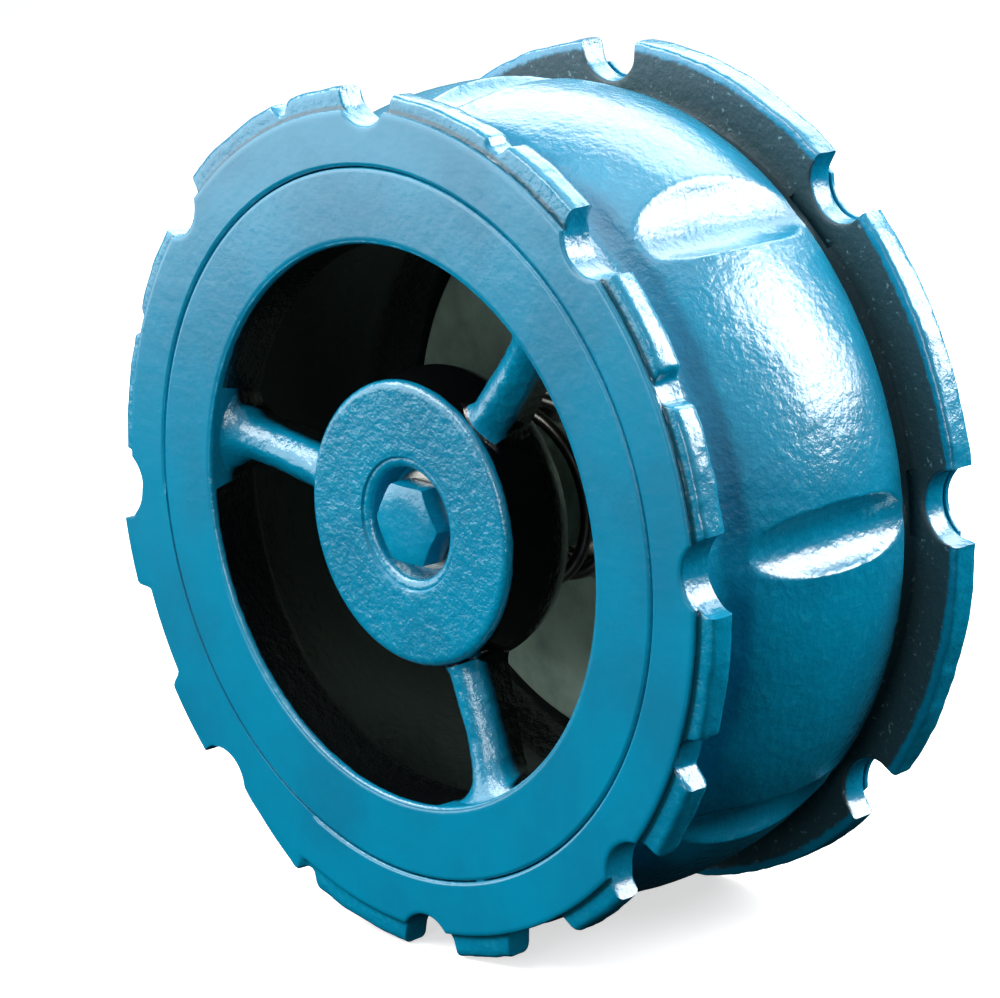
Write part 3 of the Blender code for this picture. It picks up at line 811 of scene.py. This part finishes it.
turnedParts = {
    "cagePin": {
        "steps": 32, "edge": 0.25, "finish": "smoothPaint", "slot": "blue_paint", "body": "body_assembly",
        "node": "cage_locking_pin", "circle": 86.5, "turn": 284.0,
        "outline": ((0.0, 44.45), (1.45, 44.45), (1.45, 35.4), (0.0, 35.4))},
    "lockWasher": {
        "steps": 96, "edge": 0.2, "finish": "zincSteel", "slot": "zinc_steel", "body": "body_assembly",
        "node": "bolt_lock_washer", "outline": ((6.4, 34.3), (12.2, 34.3), (12.2, 32.9), (6.4, 32.9))},
    "guidePin": {
        "steps": 96, "edge": 0.3, "finish": "zincSteel", "slot": "zinc_steel", "body": "body_assembly",
        "node": "guide_pin", "outline": (
            (0.0, 3.5), (6.25, 3.5), (6.25, 28.2), (17.0, 28.2), (17.0, 25.4), (9.0, 25.4), (9.0, -4.5),
            (8.0, -5.5), (0.0, -5.5))},
    "frontSpringSeat": {
        "steps": 96, "edge": 0.25, "finish": "zincSteel", "slot": "zinc_steel", "body": "body_assembly",
        "node": "front_spring_seat", "outline": ((17.6, 28.2), (25.6, 28.2), (25.6, 26.7), (17.6, 26.7))},
    "rearSpringSeat": {
        "steps": 96, "edge": 0.25, "finish": "zincSteel", "slot": "zinc_steel", "body": "disc_assembly",
        "node": "rear_spring_seat", "outline": ((16.2, -19.2), (25.8, -19.2), (25.8, -20.7), (16.2, -20.7))},
    "valveDisc": {
        "steps": 288, "edge": 0.4, "finish": "discSteel", "slot": "disc_steel", "body": "disc_assembly",
        "node": "valve_disc", "outline": (
            (0.0, -24.0), (9.6, -24.0), (9.6, -12.3), (12.0, -12.3), (12.0, 7.1), (15.0, 7.1), (15.5, 6.5),
            (15.5, -20.2), (16.2, -21.0), (29.0, -21.0), (36.0, -22.1), (44.0, -24.2), (54.0, -26.0),
            (64.0, -26.8), (70.0, -27.2), (71.0, -28.2), (71.0, -32.4), (68.8, -32.7), (68.8, -29.0),
            (0.0, -29.0))},
    "guideBush": {
        "steps": 96, "edge": 0.2, "finish": "bronze", "slot": "seat_bronze", "body": "disc_assembly",
        "node": "guide_bush", "outline": ((9.06, 6.8), (11.7, 6.8), (11.7, -12.0), (9.06, -12.0))},
    "discSeal": {
        "steps": 240, "edge": 0.4, "finish": "rubber", "slot": "black_rubber", "body": "disc_assembly",
        "node": "disc_seal_ring", "outline": ((60.0, -29.3), (68.5, -29.3), (68.5, -33.0), (60.0, -33.0))},
    "sealRetainer": {
        "steps": 240, "edge": 0.4, "finish": "discSteel", "slot": "disc_steel", "body": "disc_assembly",
        "node": "seal_retainer", "outline": (
            (0.0, -29.3), (59.7, -29.3), (59.7, -33.3), (61.9, -33.3), (61.9, -35.2), (60.4, -36.5),
            (34.0, -36.5), (27.5, -37.1), (22.0, -38.2), (16.0, -38.9), (12.0, -39.2), (6.0, -39.5),
            (0.0, -39.6))},
    "seatRing": {
        "steps": 288, "edge": 0.35, "finish": "bronze", "slot": "seat_bronze", "body": "body_assembly",
        "node": "seat_ring", "outline": (
            (63.0, -33.3), (74.7, -33.3), (74.7, -36.9), (70.0, -36.9), (70.0, -37.5), (67.4, -37.5),
            (67.4, -40.0), (70.0, -40.0), (70.0, -40.6), (62.5, -40.6), (62.5, -33.8))},
    "seatSealRing": {
        "steps": 240, "edge": 0.0, "finish": "rubber", "slot": "black_rubber", "body": "body_assembly",
        "node": "seat_o_ring", "outline": arcCorner((68.9, -38.75), 0.95, 0, 345, 24)},
    "seatCirclip": {
        "steps": 240, "edge": 0.15, "finish": "springSteel", "slot": "spring_steel", "body": "body_assembly",
        "node": "seat_circlip", "gap": 5.4, "turn": 270.0,
        "outline": ((72.2, -31.2), (75.6, -31.2), (75.6, -32.97), (72.2, -32.97))},
}


def makeTurned(name, part):
    bm = bmesh.new()
    gap = part.get("gap", 0.0)
    if gap:
        ring = [bm.verts.new((radius, 0.0, height)) for radius, height in part["outline"]]
        edges = [bm.edges.new((ring[i], ring[(i + 1) % len(ring)])) for i in range(len(ring))]
        bmesh.ops.spin(bm, geom=ring + edges, cent=(0, 0, 0), axis=(0, 0, 1), dvec=(0, 0, 0),
                       angle=math.radians(360.0 - gap), steps=part["steps"], use_merge=False,
                       use_normal_flip=False, use_duplicate=False)
        bmesh.ops.holes_fill(bm, edges=[e for e in bm.edges if e.is_boundary], sides=0)
        bmesh.ops.recalc_face_normals(bm, faces=bm.faces[:])
        turn = math.radians(part["turn"] + gap / 2.0)
        bmesh.ops.rotate(bm, verts=bm.verts[:], cent=(0, 0, 0), matrix=Matrix.Rotation(turn, 3, "Z"))
    else:
        turnOutline(bm, part["outline"], part["steps"])
    if part["edge"]:
        softenEdges(bm, part["edge"])
    if "circle" in part:
        turn = math.radians(part["turn"])
        spot = Vector((math.cos(turn), math.sin(turn), 0.0)) * part["circle"]
        bmesh.ops.translate(bm, verts=bm.verts[:], vec=spot)
    return finishPiece(name, bm, part["finish"], part["body"], [part["node"]])


for name, part in turnedParts.items():
    makeTurned(name, part)
print("turned parts ready")

# closing spring: a wire spun along the axis, its end turns closed

springShape = {
    "radius": 22.3, "wire": 1.65, "turns": 6.25, "perTurn": 48, "top": 26.4, "bottom": -18.9, "closed": 0.85,
    "draftRise": 100.0}


def makeSpring(shape):
    bm = bmesh.new()
    made = bmesh.ops.create_circle(bm, cap_ends=False, radius=shape["wire"], segments=14)
    bmesh.ops.rotate(bm, verts=made["verts"], cent=(0, 0, 0), matrix=Matrix.Rotation(math.pi / 2, 3, "X"))
    bmesh.ops.translate(bm, verts=made["verts"], vec=(shape["radius"], 0.0, 0.0))
    steps = round(shape["turns"] * shape["perTurn"])
    draft = shape["draftRise"]  # the spun wire rises this far, and is then given its real heights
    bmesh.ops.spin(bm, geom=made["verts"] + bm.edges[:], cent=(0, 0, 0), axis=(0, 0, 1),
                   dvec=(0, 0, draft / steps), angle=math.tau * shape["turns"], steps=steps,
                   use_merge=False, use_normal_flip=False, use_duplicate=False)
    bmesh.ops.holes_fill(bm, edges=[e for e in bm.edges if e.is_boundary], sides=0)
    low, high = shape["bottom"] + shape["wire"], shape["top"] - shape["wire"]
    closed = shape["closed"] / shape["turns"]

    def rise(co):
        # each spun section keeps its own height mark, so the share of the way comes from whole steps
        turn = math.atan2(co.y, co.x) / math.tau
        share = (turn + round(co.z / draft * shape["turns"] - turn)) / shape["turns"]
        up = min(max((share - closed) / (1.0 - 2.0 * closed), 0.0), 1.0)
        return Vector((co.x, co.y, low + (high - low) * up + (co.z - draft * share)))

    movePoints(bm, rise)
    bmesh.ops.recalc_face_normals(bm, faces=bm.faces[:])
    return finishPiece("closingSpring", bm, "springSteel", "body_assembly",
                       ["closing_spring"], 60.0)


spring = makeSpring(springShape)
lift = next(joint for joint in frame["record"]["behaviour"]["joints"] if joint["name"] == "disc_lift")
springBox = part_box("closing_spring")
springLength = springBox[1][1] - springBox[0][1]
travel = lift["range_m"][1]
1.0 - travel / springLength
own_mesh(spring)
print("spring ready")

# studio: pale floor, white surround, soft boxes

studio = {
    "floor": 6.0,
    "floorColor": (0.86, 0.87, 0.88),
    "floorGlow": 0.62,
    "floorMottle": (0.88, 0.885, 0.89),
    "backdropLevel": 1.05,
    "surround": ((0.0, (0.002, 0.006, 0.008)), (0.40, (0.006, 0.014, 0.018)), (0.48, (0.06, 0.08, 0.09)),
                 (0.53, (0.40, 0.43, 0.45)), (0.70, (0.55, 0.58, 0.60)), (1.0, (0.7, 0.72, 0.74))),
    "surroundLevel": 0.60,
    # name: azimuth, elevation, distance, width, height, watts
    "boxes": {
        "overhead": (75.0, 80.0, 1.1, 1.0, 0.7, 3.0),
        "front": (-50.0, 17.0, 1.2, 1.1, 1.0, 8.0),
        "frontTop": (-42.0, 45.0, 1.2, 1.6, 0.4, 14.0),
        "frontRight": (22.0, 9.0, 1.2, 0.35, 0.5, 3.0),
        "backRight": (140.0, 28.0, 1.2, 0.62, 0.75, 17.0),
        "backTop": (204.0, 46.0, 1.2, 1.25, 0.65, 13.0),
    },
}


def makeFloor():
    bm = bmesh.new()
    bmesh.ops.create_grid(bm, x_segments=4, y_segments=4, size=studio["floor"])
    bmesh.ops.translate(bm, verts=bm.verts[:], vec=(0.0, 0.0, cadBox[0][2]))
    mesh = bpy.data.meshes.new("floor")
    bm.to_mesh(mesh)
    bm.free()
    f = Finish("paleFloor")
    tone = f.step(f.speckle(9.0, 3.0, 0.5), 0.3, 0.7)
    f.set(Base_Color=f.mix(tone, studio["floorColor"], studio["floorMottle"]), Roughness=0.8)
    f.set(Emission_Color=(1.0, 1.0, 1.0), Emission_Strength=studio["floorGlow"])
    mesh.materials.append(f.material)
    floor = bpy.data.objects.new("floor", mesh)
    bpy.context.scene.collection.objects.link(floor)
    floor.visible_diffuse = False
    floor.visible_glossy = False


def makeSurround():
    world = bpy.data.worlds.new("surround")
    bpy.context.scene.world = world
    world.use_nodes = True
    f = Finish("surround", world.node_tree)
    background = world.node_tree.nodes["Background"]
    split = f.node("SeparateXYZ", None, {0: f.node("TexCoord", None, None, "Generated")})
    upward = Wire(f, split.socket.node.outputs[2]) * 0.5 + 0.5
    ramp = f.node("ValToRGB", {"stops": studio["surround"]}, {0: upward})
    seen = f.node("LightPath", None, None, "Is Camera Ray")
    f.plug(background.inputs[0], f.mix(seen, ramp, (1.0, 1.0, 1.0)))
    f.plug(background.inputs[1], studio["surroundLevel"] * (1.0 - seen) + seen * studio["backdropLevel"])


def makeBoxes():
    for name, (azimuth, elevation, distance, width, height, watts) in studio["boxes"].items():
        data = bpy.data.lights.new(name, "AREA")
        data.shape = "RECTANGLE"
        data.size, data.size_y, data.energy = width, height, watts
        light = bpy.data.objects.new(name, data)
        bpy.context.scene.collection.objects.link(light)
        aimAt(light, azimuth, elevation, distance)


makeFloor()
makeSurround()
makeBoxes()
print("studio ready")
